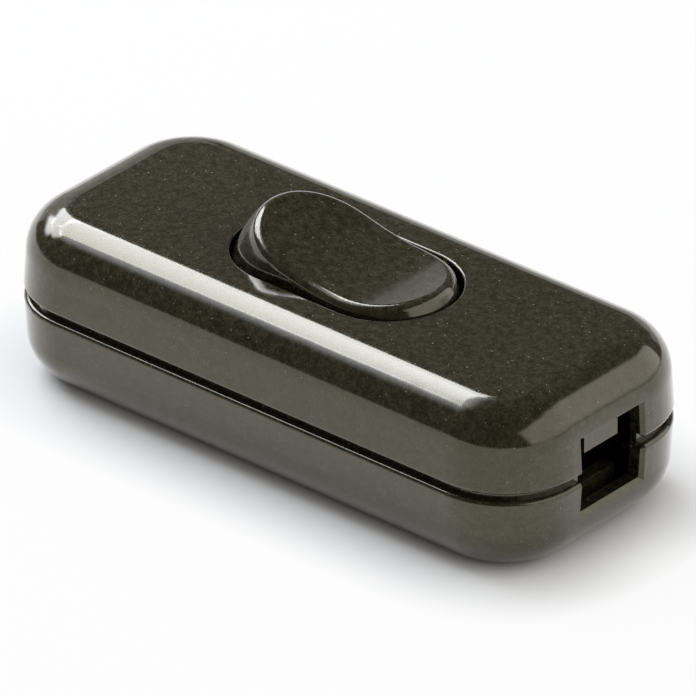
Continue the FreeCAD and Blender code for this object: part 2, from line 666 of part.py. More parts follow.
def bore_strip(body, name, x, diameter):
    """Make one upright hole through a strip that lies on the floor."""
    hole = new_sketch(body, name, "XY_Plane", "floor_thick")
    draw_circle(hole, x, "0", diameter)
    extrude("Pocket", body, hole, "strip_thick", flip=True)


def build_fulcrum_strip():
    """Brass strip with the rounded ridge under the blade."""
    body = new_body("fulcrum_strip")
    side = new_sketch(body, "FulcrumSide", "XZ_Plane")
    far = "-(pillar_offset + pillar_length / 2)"
    draw_loop(side, [
        (far, "floor_thick"),
        ("2 * ridge_radius", "floor_thick"),
        ("2 * ridge_radius", STRIP_TOP),
        ("ridge_radius", STRIP_TOP),
        ("ridge_radius", FULCRUM, "ridge_radius", 1),
        ("0", FULCRUM + " + ridge_radius", "ridge_radius", 1),
        ("-ridge_radius", FULCRUM),
        ("-ridge_radius", STRIP_TOP),
        (far, STRIP_TOP),
    ])
    extrude("Pad", body, side, "strip_width", both=True)
    bore_strip(body, "FulcrumStake", "-pillar_offset", "stake_dia")
    return body


def build_contact_strip():
    """Brass strip that carries the fixed contact."""
    body = new_body("contact_strip")
    side = new_sketch(body, "ContactSide", "XZ_Plane")
    draw_box(side, "contact_offset - contact_dia", "pillar_offset + pillar_length / 2",
             "floor_thick", STRIP_TOP)
    extrude("Pad", body, side, "strip_width", both=True)
    bore_strip(body, "ContactRivet", "contact_offset", "contact_shank")
    bore_strip(body, "ContactStake", "pillar_offset", "stake_dia")
    return body


def bevel_uprights(body, name, block):
    """Bevel the upright edges of a brass block."""
    soften("Chamfer", body, name, block, "metal_bevel",
           lambda edge: abs(edge.Vertexes[0].Z - edge.Vertexes[-1].Z) > 1e-3)


def build_pillar(label, end):
    """Pillar terminal staked into the end of its strip."""
    body = new_body(label)
    place = "%d * pillar_offset" % end
    plan = new_sketch(body, label + "Plan", "XY_Plane", STRIP_TOP, shift=place)
    draw_box(plan, "-pillar_length / 2", "pillar_length / 2",
             "-pillar_width / 2", "pillar_width / 2")
    block = extrude("Pad", body, plan, "pillar_height")
    bevel_uprights(body, label + "Bevel", block)
    stake = new_sketch(body, label + "Stake", "XY_Plane", "floor_thick", shift=place)
    draw_circle(stake, "0", "0", "stake_dia")
    extrude("Pad", body, stake, "strip_thick")
    bore = new_sketch(body, label + "Bore", "YZ_Plane")
    draw_circle(bore, "0", STRIP_TOP + " + pillar_height / 2", "wire_bore")
    extrude("Pocket", body, bore, "2 * body_length", both=True)
    tap = new_sketch(body, label + "Tap", "XY_Plane", PILLAR_TOP, shift=place)
    draw_circle(tap, "0", "0", "clamp_dia + 2 * fit_gap")
    extrude("Pocket", body, tap, "pillar_height / 2")
    return body


def build_barrel(label, side):
    """Through connector with a screw for each conductor."""
    body = new_body(label)
    centre = "%d * %s" % (side, BARREL_Y)
    section = new_sketch(body, label + "Section", "YZ_Plane")
    draw_box(section, centre + " - barrel_size / 2", centre + " + barrel_size / 2",
             "barrel_seat", BARREL_TOP)
    block = extrude("Pad", body, section, "barrel_length", both=True)

    def long_edge(edge):
        return abs(edge.Vertexes[0].X - edge.Vertexes[-1].X) > 1e-3

    soften("Chamfer", body, label + "Bevel", block, "metal_bevel", long_edge)
    bore = new_sketch(body, label + "Bore", "YZ_Plane")
    draw_circle(bore, centre, "barrel_seat + barrel_size / 2", "wire_bore")
    extrude("Pocket", body, bore, "2 * barrel_length", both=True)
    taps = new_sketch(body, label + "Taps", "XY_Plane", BARREL_TOP)
    for end in (BARREL_TAP, "-" + BARREL_TAP):
        draw_circle(taps, end, centre, "clamp_dia + 2 * fit_gap")
    extrude("Pocket", body, taps, "barrel_size / 2")
    return body


def build_clamp_screw():
    """One terminal screw, head underside at the origin."""
    body = new_body("clamp_screw")
    half = new_sketch(body, "ClampHalf", "XZ_Plane")
    draw_loop(half, [
        ("0", "-clamp_reach"),
        ("clamp_dia / 2", "-clamp_reach"),
        ("clamp_dia / 2", "0"),
        ("clamp_head / 2", "0"),
        ("clamp_head / 2", "clamp_head_height"),
        ("0", "clamp_head_height"),
    ])
    revolve(body, half)
    slot = new_sketch(body, "ClampSlot", "XY_Plane", "clamp_head_height")
    draw_box(slot, "-clamp_head", "clamp_head", "-slot_width / 2", "slot_width / 2")
    extrude("Pocket", body, slot, "slot_depth")
    return body


def build_housing_screw():
    """One self-tapping screw, driven from below, head face at the origin."""
    body = new_body("housing_screw")
    half = new_sketch(body, "ScrewHalf", "XZ_Plane")
    tip = "screw_head_height + screw_length"
    draw_loop(half, [
        ("0", "0"),
        ("screw_head / 2 - screw_head_round", "0", "screw_head_round", 1),
        ("screw_head / 2", "screw_head_round"),
        ("screw_head / 2", "screw_head_height"),
        ("screw_dia / 2", "screw_head_height"),
        ("screw_dia / 2", tip + " - screw_point"),
        ("0", tip),
    ])
    revolve(body, half)
    cross = new_sketch(body, "ScrewCross", "XY_Plane")
    arm = "cross_length / 2"
    slim = "cross_width / 2"
    quarter = [(arm, slim), (slim, slim), (slim, arm)]
    corners = []
    for flip_x, flip_y, backwards in (("", "", 0), ("-", "", 1), ("-", "-", 0), ("", "-", 1)):
        part = [("%s(%s)" % (flip_x, x), "%s(%s)" % (flip_y, y)) for x, y in quarter]
        corners += list(reversed(part)) if backwards else part
    draw_loop(cross, corners)
    extrude("Pocket", body, cross, "cross_depth", flip=True)
    return body


def group_copies(label, source, places):
    """Gather moved copies of one screw as separate solids of one node."""
    copies = []
    for place in places:
        copy = source.Shape.copy()
        copy.translate(FreeCAD.Vector(*[number(value) for value in place]))
        copies.append(copy)
    group = doc.addObject("Part::Feature", label)
    group.Label = label
    group.Shape = Part.makeCompound(copies)
    return group


def build_all():
    """Build every piece and return the ones that are written."""
    clamp = build_clamp_screw()
    driven = build_housing_screw()
    on_barrel = BARREL_TOP + " + clamp_lift"
    on_pillar = PILLAR_TOP + " + clamp_lift"
    clamp_places = [
        (BARREL_TAP, BARREL_Y, on_barrel),
        ("-" + BARREL_TAP, BARREL_Y, on_barrel),
        (BARREL_TAP, "-" + BARREL_Y, on_barrel),
        ("-" + BARREL_TAP, "-" + BARREL_Y, on_barrel),
        ("pillar_offset", "0", on_pillar),
        ("-pillar_offset", "0", on_pillar),
    ]
    seat = "well_depth - screw_head_height"
    screw_places = [(SCREW_X, "-" + SCREW_Y, seat), ("-" + SCREW_X, SCREW_Y, seat)]
    return [
        build_cover(),
        build_base(),
        build_rocker(),
        build_plunger(),
        build_spring(),
        build_blade(),
        build_moving_contact(),
        build_fixed_contact(),
        build_fulcrum_strip(),
        build_contact_strip(),
        build_pillar("line_in_pillar", -1),
        build_pillar("line_out_pillar", 1),
        build_barrel("neutral_barrel", 1),
        build_barrel("earth_barrel", -1),
        group_copies("terminal_screws", clamp, clamp_places),
        group_copies("housing_screws", driven, screw_places),
    ]


def write(pieces):
    """Check every object and write one file for each piece."""
    doc.recompute()
    for item in doc.Objects:
        if "Invalid" in item.State or "Error" in item.State:
            raise RuntimeError("%s is not sound: %s" % (item.Name, item.State))
    os.makedirs("parts", exist_ok=True)
    for piece in pieces:
        shape = piece.Shape
        if shape.isNull() or not shape.isValid():
            raise RuntimeError("%s has no sound shape" % piece.Label)
        shape.exportStep("parts/%s.step" % piece.Label)
        box = shape.BoundBox
        print("%-16s %2d solids %8.2f mm3  x %6.2f %6.2f  y %6.2f %6.2f  z %6.2f %6.2f" % (
            piece.Label, len(shape.Solids), shape.Volume,
            box.XMin, box.XMax, box.YMin, box.YMax, box.ZMin, box.ZMax))


write(build_all())
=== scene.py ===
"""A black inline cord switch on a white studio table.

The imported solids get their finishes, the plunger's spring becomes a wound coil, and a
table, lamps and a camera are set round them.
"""

import json
import logging
import math
from dataclasses import dataclass, field
from enum import Enum
from typing import Any, Mapping, Optional, Union

import bmesh
import bpy
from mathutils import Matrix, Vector


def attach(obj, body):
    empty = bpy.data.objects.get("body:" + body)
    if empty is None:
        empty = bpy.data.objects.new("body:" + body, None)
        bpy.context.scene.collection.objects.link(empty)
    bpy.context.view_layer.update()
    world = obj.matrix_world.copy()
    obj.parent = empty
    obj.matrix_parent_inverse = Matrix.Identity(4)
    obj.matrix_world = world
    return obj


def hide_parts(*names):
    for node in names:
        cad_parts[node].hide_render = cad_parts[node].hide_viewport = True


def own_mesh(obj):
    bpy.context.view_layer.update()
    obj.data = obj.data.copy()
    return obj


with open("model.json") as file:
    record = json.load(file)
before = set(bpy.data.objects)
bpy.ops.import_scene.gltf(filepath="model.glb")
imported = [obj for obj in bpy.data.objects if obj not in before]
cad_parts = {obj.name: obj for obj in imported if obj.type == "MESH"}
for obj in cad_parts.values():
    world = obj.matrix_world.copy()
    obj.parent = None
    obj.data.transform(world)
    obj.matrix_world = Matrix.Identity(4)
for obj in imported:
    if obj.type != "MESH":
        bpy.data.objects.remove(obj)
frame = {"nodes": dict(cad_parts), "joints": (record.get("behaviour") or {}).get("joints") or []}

LOG = logging.getLogger("cord_switch")
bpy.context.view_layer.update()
MM = 0.001
# The cool white of the main lamps.
KEY_HEX = "#EEF3FF"
Colour = tuple[float, float, float, float]
Key = Union[str, int]
# The sockets of a colour Mix node, by place, because several share one name.
SHARE, FIRST, SECOND, RESULT = 0, 6, 7, 2


class Lay(Enum):
    """Which way the marks of a metal's making run, in the part's own axes."""

    ALONG_X = (0.04, 1.0, 1.0)
    ROUND_Z = (1.0, 1.0, 1.0)


def linear(hex_code: str) -> Colour:
    """Turns an sRGB hex colour into the linear colour that shaders take.

    Args:
        hex_code: the colour as "#RRGGBB".

    Returns:
        Linear red, green and blue, and a full alpha.
    """
    steps = [int(hex_code[i : i + 2], 16) / 255 for i in (1, 3, 5)]
    red, green, blue = (s / 12.92 if s <= 0.04045 else ((s + 0.055) / 1.055) ** 2.4 for s in steps)
    return red, green, blue, 1.0


def add_node(
    tree: bpy.types.NodeTree,
    kind: str,
    settings: Optional[Mapping[str, Any]] = None,
    links: Optional[Mapping[Key, Any]] = None,
) -> bpy.types.Node:
    """Adds a shader node, with its settings and what goes into it.

    Args:
        tree: the node tree of a material or a lamp.
        kind: the node's type, without its "ShaderNode" prefix.
        settings: the node's own properties.
        links: for each input, by name or place, an output socket to link or a value to set.

    Returns:
        The new node.
    """
    node = tree.nodes.new(f"ShaderNode{kind}")
    for name, value in (settings or {}).items():
        setattr(node, name, value)
    for key, value in (links or {}).items():
        if isinstance(value, bpy.types.NodeSocket):
            tree.links.new(value, node.inputs[key])
        else:
            node.inputs[key].default_value = value
    return node


def new_material(name: str) -> tuple[bpy.types.Material, bpy.types.NodeTree, bpy.types.NodeSocket]:
    """Starts a material with an empty node tree.

    Args:
        name: the real material and how its surface was made.

    Returns:
        The material, its node tree, and its output's surface socket.
    """
    material = bpy.data.materials.new(name)
    material.use_nodes = True
    material.node_tree.nodes.clear()
    output = add_node(material.node_tree, "OutputMaterial")
    return material, material.node_tree, output.inputs["Surface"]


def per_metre(size_mm: float) -> float:
    """Gives a pattern's scale, in repeats a metre, from the real size of one repeat in millimetres."""
    return 1.0 / (size_mm * MM)


@dataclass(frozen=True)
class PolishedMoulding:
    """Black thermoset compound pressed in a polished steel mould.

    It gives the eye a deep brown-black with a clear gloss that mirrors the lamps, slightly wavy
    from the flow of the compound, with a fine grain of filler and a few dust specks on all but
    its undersides.
    """

    name: str
    body_hex: str = "#1E1A0E"
    cloud_hex: str = "#242114"
    fleck_hex: str = "#434032"
    dust_hex: str = "#8F8A7F"
    ior: float = 1.47
    # The resin is pale amber, which warms what the body mirrors.
    sheen_hex: str = "#FFEDA8"
    # A skin of clear resin, with no filler in it, forms against the steel and doubles the gloss.
    skin_ior: float = 1.47
    skin_roughness: float = 0.09
    gloss_roughness: float = 0.11
    grain_roughness: float = 0.08
    cloud_mm: float = 6.0
    wave_mm: float = 3.2
    wave_depth_mm: float = 0.012
    # Filler grain is a few hundredths of a millimetre; it is drawn coarser here so that it shows.
    grain_mm: float = 0.22
    grain_depth_mm: float = 0.0013
    # Where the grain turns the gloss from clear to dull.
    grain_span: tuple[float, float] = (0.3, 0.8)
    # The filler lies thicker in small patches, and shows as flecks there.
    mottle_mm: float = 0.7
    fleck_span: tuple[float, float] = (0.16, 0.42)
    patch_detail: float = 3.0
    wave_detail: float = 1.0
    grain_detail: float = 2.0
    # A cell of this size may hold one speck, whose radius is a share of the cell.
    dust_spacing_mm: float = 0.6
    dust_size: float = 0.115
    # Cells that draw less than this stay clean, and so does what faces further down than the limit.
    dust_draw: float = 0.5
    dust_facing: float = -0.2
    dust_roughness: float = 0.5

    def make(self) -> bpy.types.Material:
        """Builds the material.

        Returns:
            The finished material.
        """
        material, tree, surface = new_material(self.name)
        place = add_node(tree, "TexCoord").outputs["Object"]
        cloud, mottle, wave, grain = (
            add_node(tree, "TexNoise", None, {"Vector": place, "Scale": per_metre(size), "Detail": detail})
            for size, detail in (
                (self.cloud_mm, self.patch_detail),
                (self.mottle_mm, self.patch_detail),
                (self.wave_mm, self.wave_detail),
                (self.grain_mm, self.grain_detail),
            )
        )
        specks = add_node(
            tree, "TexVoronoi", None, {"Vector": place, "Scale": per_metre(self.dust_spacing_mm)}
        )
        small = add_node(
            tree, "Math", {"operation": "LESS_THAN"}, {0: specks.outputs["Distance"], 1: self.dust_size}
        )
        pick = add_node(tree, "SeparateColor", None, {"Color": specks.outputs["Color"]})
        few = add_node(
            tree, "Math", {"operation": "GREATER_THAN"}, {0: pick.outputs["Red"], 1: self.dust_draw}
        )
        skin = add_node(tree, "NewGeometry")
        facing = add_node(tree, "SeparateXYZ", None, {0: skin.outputs["Normal"]})
        upward = add_node(
            tree, "Math", {"operation": "GREATER_THAN"}, {0: facing.outputs["Z"], 1: self.dust_facing}
        )
        chosen = add_node(
            tree, "Math", {"operation": "MULTIPLY"}, {0: small.outputs[0], 1: few.outputs[0]}
        )
        dust = add_node(
            tree, "Math", {"operation": "MULTIPLY"}, {0: chosen.outputs[0], 1: upward.outputs[0]}
        )
        faint = add_node(
            tree, "Math", {"operation": "MULTIPLY"}, {0: dust.outputs[0], 1: pick.outputs["Green"]}
        )
        body = add_node(
            tree,
            "Mix",
            {"data_type": "RGBA"},
            {SHARE: cloud.outputs["Fac"], FIRST: linear(self.body_hex), SECOND: linear(self.cloud_hex)},
        )
        patchy = add_node(
            tree, "Math", {"operation": "MULTIPLY"}, {0: grain.outputs["Fac"], 1: mottle.outputs["Fac"]}
        )
        fleck_min, fleck_max = self.fleck_span
        show = add_node(
            tree,
            "MapRange",
            None,
            {"Value": patchy.outputs[0], "From Min": fleck_min, "From Max": fleck_max},
        )
        flecked = add_node(
            tree,
            "Mix",
            {"data_type": "RGBA"},
            {SHARE: show.outputs[0], FIRST: body.outputs[RESULT], SECOND: linear(self.fleck_hex)},
        )
        colour = add_node(
            tree,
            "Mix",
            {"data_type": "RGBA"},
            {SHARE: faint.outputs[0], FIRST: flecked.outputs[RESULT], SECOND: linear(self.dust_hex)},
        )
        rough = add_node(
            tree,
            "MapRange",
            None,
            {
                "Value": grain.outputs["Fac"],
                "From Min": self.grain_span[0],
                "From Max": self.grain_span[1],
                "To Min": self.gloss_roughness,
                "To Max": self.gloss_roughness + self.grain_roughness,
            },
        )
        dusty = add_node(
            tree,
            "Math",
            {"operation": "MULTIPLY_ADD", "use_clamp": True},
            {0: dust.outputs[0], 1: self.dust_roughness, 2: rough.outputs[0]},
        )
        swell = add_node(
            tree,
            "Bump",
            None,
            {"Strength": 1.0, "Distance": self.wave_depth_mm * MM, "Height": wave.outputs["Fac"]},
        )
        tooth = add_node(
            tree,
            "Bump",
            None,
            {
                "Strength": 1.0,
                "Distance": self.grain_depth_mm * MM,
                "Height": grain.outputs["Fac"],
                "Normal": swell.outputs["Normal"],
            },
        )
        shader = add_node(
            tree,
            "BsdfPrincipled",
            None,
            {
                "Base Color": colour.outputs[RESULT],
                "Roughness": dusty.outputs[0],
                "IOR": self.ior,
                "Specular Tint": linear(self.sheen_hex),
                "Normal": tooth.outputs["Normal"],
                "Coat Weight": 1.0,
                "Coat IOR": self.skin_ior,
                "Coat Roughness": self.skin_roughness,
                "Coat Normal": tooth.outputs["Normal"],
            },
        )
        tree.links.new(shader.outputs["BSDF"], surface)
        return material


@dataclass(frozen=True)
class NaturalNylon:
    """Unfilled nylon, turned and tumbled: a milky off-white that lets a little light in."""

    name: str = "natural_nylon_turned"
    body_hex: str = "#EEEBDF"
    shade_hex: str = "#E2DDCB"
    roughness: float = 0.38
    ior: float = 1.53
    cloud_mm: float = 1.5
    cloud_detail: float = 2.0
    # The tool marks of the lathe are a few hundredths apart; they are drawn coarser so that they show.
    ring_mm: float = 0.22
    ring_depth_mm: float = 0.003
    ring_strength: float = 0.6
    ring_waver: float = 0.6
    # A wave texture makes this many bands in a length of two pi at a scale of one.
    bands_at_scale_one: float = 20.0
    # The share of light that goes in, and how far its red, green and blue get.
    milky_share: float = 0.15
    milky_mm: tuple[float, float, float] = (0.6, 0.5, 0.4)

    def make(self) -> bpy.types.Material:
        """Builds the material.

        Returns:
            The finished material.
        """
        material, tree, surface = new_material(self.name)
        place = add_node(tree, "TexCoord").outputs["Object"]
        cloud = add_node(
            tree,
            "TexNoise",
            None,
            {"Vector": place, "Scale": per_metre(self.cloud_mm), "Detail": self.cloud_detail},
        )
        rings = add_node(
            tree,
            "TexWave",
            {"bands_direction": "Z"},
            {
                "Vector": place,
                "Scale": per_metre(self.ring_mm) * 2 * math.pi / self.bands_at_scale_one,
                "Distortion": self.ring_waver,
            },
        )
        colour = add_node(
            tree,
            "Mix",
            {"data_type": "RGBA"},
            {SHARE: cloud.outputs["Fac"], FIRST: linear(self.body_hex), SECOND: linear(self.shade_hex)},
        )
        bump = add_node(
            tree,
            "Bump",
            None,
            {
                "Strength": self.ring_strength,
                "Distance": self.ring_depth_mm * MM,
                "Height": rings.outputs["Fac"],
            },
        )
        shader = add_node(
            tree,
            "BsdfPrincipled",
            None,
            {
                "Base Color": colour.outputs[RESULT],
                "Roughness": self.roughness,
                "IOR": self.ior,
                "Subsurface Weight": self.milky_share,
                "Subsurface Radius": tuple(depth * MM for depth in self.milky_mm),
                "Subsurface Scale": 1.0,
                "Normal": bump.outputs["Normal"],
            },
        )
        tree.links.new(shader.outputs["BSDF"], surface)
        return material


@dataclass(frozen=True)
class WorkedMetal:
    """A bare or plated metal with the marks of its making, and a light tarnish in patches.

    The marks give the eye a fine streak one way, and the tarnish a slow change of colour.
    """

    name: str
    body_hex: str
    tarnish_hex: str
    roughness: float
    lay: Lay
    # Rolling, drawing and turning marks are a few hundredths apart; they are drawn coarser so that
    # they show.
    mark_mm: float = 0.12
    mark_depth_mm: float = 0.002
    mark_detail: float = 3.0
    mark_strength: float = 0.7
    mark_span: tuple[float, float] = (0.3, 0.7)
    # How much brighter and duller than the roughness the marks make the metal.
    gloss_span: tuple[float, float] = (0.75, 1.3)
    patch_mm: float = 4.0
    patch_detail: float = 4.0
    patch_span: tuple[float, float] = (0.42, 0.72)

    def make(self) -> bpy.types.Material:
        """Builds the material.

        Returns:
            The finished material.
        """
        material, tree, surface = new_material(self.name)
        place = add_node(tree, "TexCoord").outputs["Object"]
        run = add_node(tree, "Mapping", None, {"Vector": place, "Scale": self.lay.value})
        marks = add_node(
            tree,
            "TexNoise",
            None,
            {"Vector": run.outputs[0], "Scale": per_metre(self.mark_mm), "Detail": self.mark_detail},
        )
        patches = add_node(
            tree,
            "TexNoise",
            None,
            {"Vector": place, "Scale": per_metre(self.patch_mm), "Detail": self.patch_detail},
        )
        patch_min, patch_max = self.patch_span
        spread = add_node(
            tree,
            "MapRange",
            None,
            {"Value": patches.outputs["Fac"], "From Min": patch_min, "From Max": patch_max},
        )
        colour = add_node(
            tree,
            "Mix",
            {"data_type": "RGBA"},
            {SHARE: spread.outputs[0], FIRST: linear(self.body_hex), SECOND: linear(self.tarnish_hex)},
        )
        rough = add_node(
            tree,
            "MapRange",
            None,
            {
                "Value": marks.outputs["Fac"],
                "From Min": self.mark_span[0],
                "From Max": self.mark_span[1],
                "To Min": self.roughness * self.gloss_span[0],
                "To Max": self.roughness * self.gloss_span[1],
            },
        )
        bump = add_node(
            tree,
            "Bump",
            None,
            {
                "Strength": self.mark_strength,
                "Distance": self.mark_depth_mm * MM,
                "Height": marks.outputs["Fac"],
            },
        )
        shader = add_node(
            tree,
            "BsdfPrincipled",
            None,
            {
                "Base Color": colour.outputs[RESULT],
                "Metallic": 1.0,
                "Roughness": rough.outputs[0],
                "Normal": bump.outputs["Normal"],
            },
        )
        tree.links.new(shader.outputs["BSDF"], surface)
        return material


@dataclass(frozen=True)
class PaintedTable:
    """Matt white paint on a smooth board: an even pale sheet that keeps soft shadows.

    What sees it straight or mirrored gets a share of plain white, as on an overlit studio table,
    apart from a narrow shade where the switch stands on it.
    """

    name: str = "matt_white_paint"
    body_hex: str = "#E8E7E3"
    shade_hex: str = "#E5E4E0"
    cloud_mm: float = 60.0
    roughness: float = 0.75
    specular_level: float = 0.2
    # The share of plain white that the camera and what mirrors the table get.
    seen_white: float = 0.94
    mirrored_white: float = 0.94
    # How far from the switch its shade reaches, and how steeply it deepens.
    contact_mm: float = 8.0
    contact_power: float = 2.0
    contact_samples: int = 8

    def make(self) -> bpy.types.Material:
        """Builds the material.

        Returns:
            The finished material.
        """
        material, tree, surface = new_material(self.name)
        place = add_node(tree, "TexCoord").outputs["Object"]
        cloud = add_node(tree, "TexNoise", None, {"Vector": place, "Scale": per_metre(self.cloud_mm)})
        colour = add_node(
            tree,
            "Mix",
            {"data_type": "RGBA"},
            {SHARE: cloud.outputs["Fac"], FIRST: linear(self.body_hex), SECOND: linear(self.shade_hex)},
        )
        shader = add_node(
            tree,
            "BsdfPrincipled",
            None,
            {
                "Base Color": colour.outputs[RESULT],
                "Roughness": self.roughness,
                "Specular IOR Level": self.specular_level,
            },
        )
        path = add_node(tree, "LightPath")
        bounced = add_node(
            tree,
            "Math",
            {"operation": "MAXIMUM"},
            {0: path.outputs["Is Glossy Ray"], 1: path.outputs["Is Transmission Ray"]},
        )
        mirrored = add_node(
            tree, "Math", {"operation": "MULTIPLY"}, {0: bounced.outputs[0], 1: self.mirrored_white}
        )
        share = add_node(
            tree,
            "Math",
            {"operation": "MULTIPLY_ADD", "use_clamp": True},
            {0: path.outputs["Is Camera Ray"], 1: self.seen_white, 2: mirrored.outputs[0]},
        )
        contact = add_node(
            tree,
            "AmbientOcclusion",
            {"samples": self.contact_samples},
            {"Distance": self.contact_mm * MM},
        )
        deep = add_node(
            tree, "Math", {"operation": "POWER"}, {0: contact.outputs["AO"], 1: self.contact_power}
        )
        clear = add_node(
            tree, "Math", {"operation": "MULTIPLY"}, {0: share.outputs[0], 1: deep.outputs[0]}
        )
        white = add_node(tree, "Emission", None, {"Strength": 1.0})
        blend = add_node(
            tree,
            "MixShader",
            None,
            {0: clear.outputs[0], 1: shader.outputs["BSDF"], 2: white.outputs["Emission"]},
        )
        tree.links.new(blend.outputs["Shader"], surface)
        return material


def dress_nodes(names: tuple[str, ...], material: bpy.types.Material) -> None:
    """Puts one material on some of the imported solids.

    Args:
        names: the solids' node names.
        material: what they are made of.
    """
    for name in names:
        piece = frame["nodes"][name]
        piece.data.materials.clear()
        piece.data.materials.append(material)
        LOG.info("%s: %s", name, material.name)


@dataclass
class Housing:
    """The cover and the base, which close round the works."""

    shells: tuple[str, ...] = ("cover_shell", "base_shell")
    finish: PolishedMoulding = PolishedMoulding("black_thermoset_moulded")

    def dress(self) -> None:
        """Gives both shells the same moulding compound."""
        dress_nodes(self.shells, self.finish.make())


@dataclass
class PlungerCoil:
    """The compression spring behind the plunger, which shortens as the plunger slides in."""

    node: str = "plunger_spring"
    carrier: str = "rocker"
    hinge: str = "rocker_tilt"
    slide: str = "plunger_slide"
    slot: str = "spring_steel"
    wire_mm: float = 0.36
    mean_mm: float = 2.14
    below_hinge_mm: float = 1.8
    above_hinge_mm: float = 2.6
    turns: int = 6
    steps_a_turn: int = 32
    sides: int = 12
    # The clearance meant between the coil and the plunger's shoulder when it is pressed in.
    spare_mm: float = 0.03
    finish: WorkedMetal = WorkedMetal(
        "spring_steel_drawn", "#B9B9B6", "#9C9A94", 0.3, Lay.ROUND_Z, mark_mm=0.08
    )

    def joint(self, name: str) -> Mapping[str, Any]:
        """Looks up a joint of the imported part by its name."""
        return next(row for row in frame["joints"] if row["name"] == name)

    def centre(self) -> Vector:
        """Gives the point where the coil's axis crosses the hinge."""
        return Vector(self.joint(self.hinge)["pos_m"])

    def along(self) -> Vector:
        """Gives the direction from the plunger to the end of the bore."""
        return Vector(self.joint(self.slide)["axis"]).normalized()

    def ring(self, share: float) -> list[Vector]:
        """Gives the points round the wire at one place along it.

        Args:
            share: how far along the wire, from 0 at the plunger to 1 at the end of the bore.

        Returns:
            The ring's points, in metres.
        """
        along = self.along()
        side = Vector(self.joint(self.hinge)["axis"]).normalized()
        across = side.cross(along)
        angle = 2 * math.pi * self.turns * share
        rise = self.below_hinge_mm + self.above_hinge_mm - self.wire_mm
        outward = across * math.cos(angle) + side * math.sin(angle)
        round_coil = side * math.cos(angle) - across * math.sin(angle)
        onward = round_coil * math.pi * self.mean_mm * self.turns + along * rise
        upward = outward.cross(onward.normalized())
        height = self.wire_mm / 2 - self.below_hinge_mm + rise * share
        middle = outward * self.mean_mm / 2 + along * height
        corners = [2 * math.pi * i / self.sides for i in range(self.sides)]
        wire = [(outward * math.cos(a) + upward * math.sin(a)) * self.wire_mm / 2 for a in corners]
        return [self.centre() + (middle + offset) * MM for offset in wire]

    def wind(self) -> bpy.types.Mesh:
        """Winds the wire into the coil.

        Returns:
            The coil's mesh.
        """
        shape = bmesh.new()
        steps = self.turns * self.steps_a_turn
        rings = [[shape.verts.new(point) for point in self.ring(i / steps)] for i in range(steps + 1)]
        for near, far in zip(rings, rings[1:]):
            for i in range(self.sides):
                j = (i + 1) % self.sides
                shape.faces.new((near[i], near[j], far[j], far[i])).smooth = True
        shape.faces.new(rings[0])
        shape.faces.new(rings[-1])
        bmesh.ops.recalc_face_normals(shape, faces=shape.faces)
        mesh = bpy.data.meshes.new("plunger_coil")
        shape.to_mesh(mesh)
        shape.free()
        return mesh

    def build(self) -> bpy.types.Object:
        """Makes the coil and sets it in the rocker's tube, in place of the imported spring.

        Returns:
            The coil's object.
        """
        coil = bpy.data.objects.new("plunger_coil", self.wind())
        coil.data.materials.append(self.finish.make())
        bpy.context.scene.collection.objects.link(coil)
        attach(coil, self.carrier)
        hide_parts(self.node)
        self.centre() + self.along() * self.above_hinge_mm * MM
        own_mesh(coil)
        LOG.info("%s: %s", coil.name, self.finish.name)
        return coil


@dataclass
class RockerGroup:
    """The rocker, and the plunger and spring that ride in its tube."""

    lever: tuple[str, ...] = ("rocker",)
    plunger: tuple[str, ...] = ("plunger",)
    lever_finish: PolishedMoulding = PolishedMoulding("black_rocker_moulded", body_hex="#1C190D")
    plunger_finish: NaturalNylon = NaturalNylon()
    coil: PlungerCoil = field(default_factory=PlungerCoil)

    def dress(self) -> None:
        """Finishes the rocker and the plunger, and winds the coil."""
        dress_nodes(self.lever, self.lever_finish.make())
        dress_nodes(self.plunger, self.plunger_finish.make())
        self.coil.build()


@dataclass
class ContactGroup:
    """The blade, its strips and the two contact rivets."""

    strips: tuple[str, ...] = ("see_saw_blade", "fulcrum_strip", "contact_strip")
    rivets: tuple[str, ...] = ("moving_contact", "fixed_contact")
    strip_finish: WorkedMetal = WorkedMetal(
        "brass_strip_rolled", "#D9B569", "#B98F4C", 0.26, Lay.ALONG_X
    )
    rivet_finish: WorkedMetal = WorkedMetal(
        "contact_silver_headed", "#E6E4DF", "#C4BFB4", 0.22, Lay.ROUND_Z
    )

    def dress(self) -> None:
        """Gives the brass and the silver their finishes."""
        dress_nodes(self.strips, self.strip_finish.make())
        dress_nodes(self.rivets, self.rivet_finish.make())


@dataclass
class TerminalGroup:
    """The brass blocks that clamp the cores, and their screws."""

    blocks: tuple[str, ...] = ("line_in_pillar", "line_out_pillar", "neutral_barrel", "earth_barrel")
    screws: tuple[str, ...] = ("terminal_screws", "housing_screws")
    block_finish: WorkedMetal = WorkedMetal(
        "brass_bar_extruded", "#D4B36C", "#B48C4A", 0.32, Lay.ALONG_X, mark_mm=0.18
    )
    screw_finish: WorkedMetal = WorkedMetal(
        "steel_zinc_plated", "#C3C6C8", "#A9ABA6", 0.3, Lay.ROUND_Z
    )

    def dress(self) -> None:
        """Gives the blocks and the screws their finishes."""
        dress_nodes(self.blocks, self.block_finish.make())
        dress_nodes(self.screws, self.screw_finish.make())


@dataclass(frozen=True)
class Fades:
    """The share of a panel over which its light dies away at each edge, seen from behind it."""

    left: float = 0.0
    right: float = 0.0
    foot: float = 0.0
    head: float = 0.0


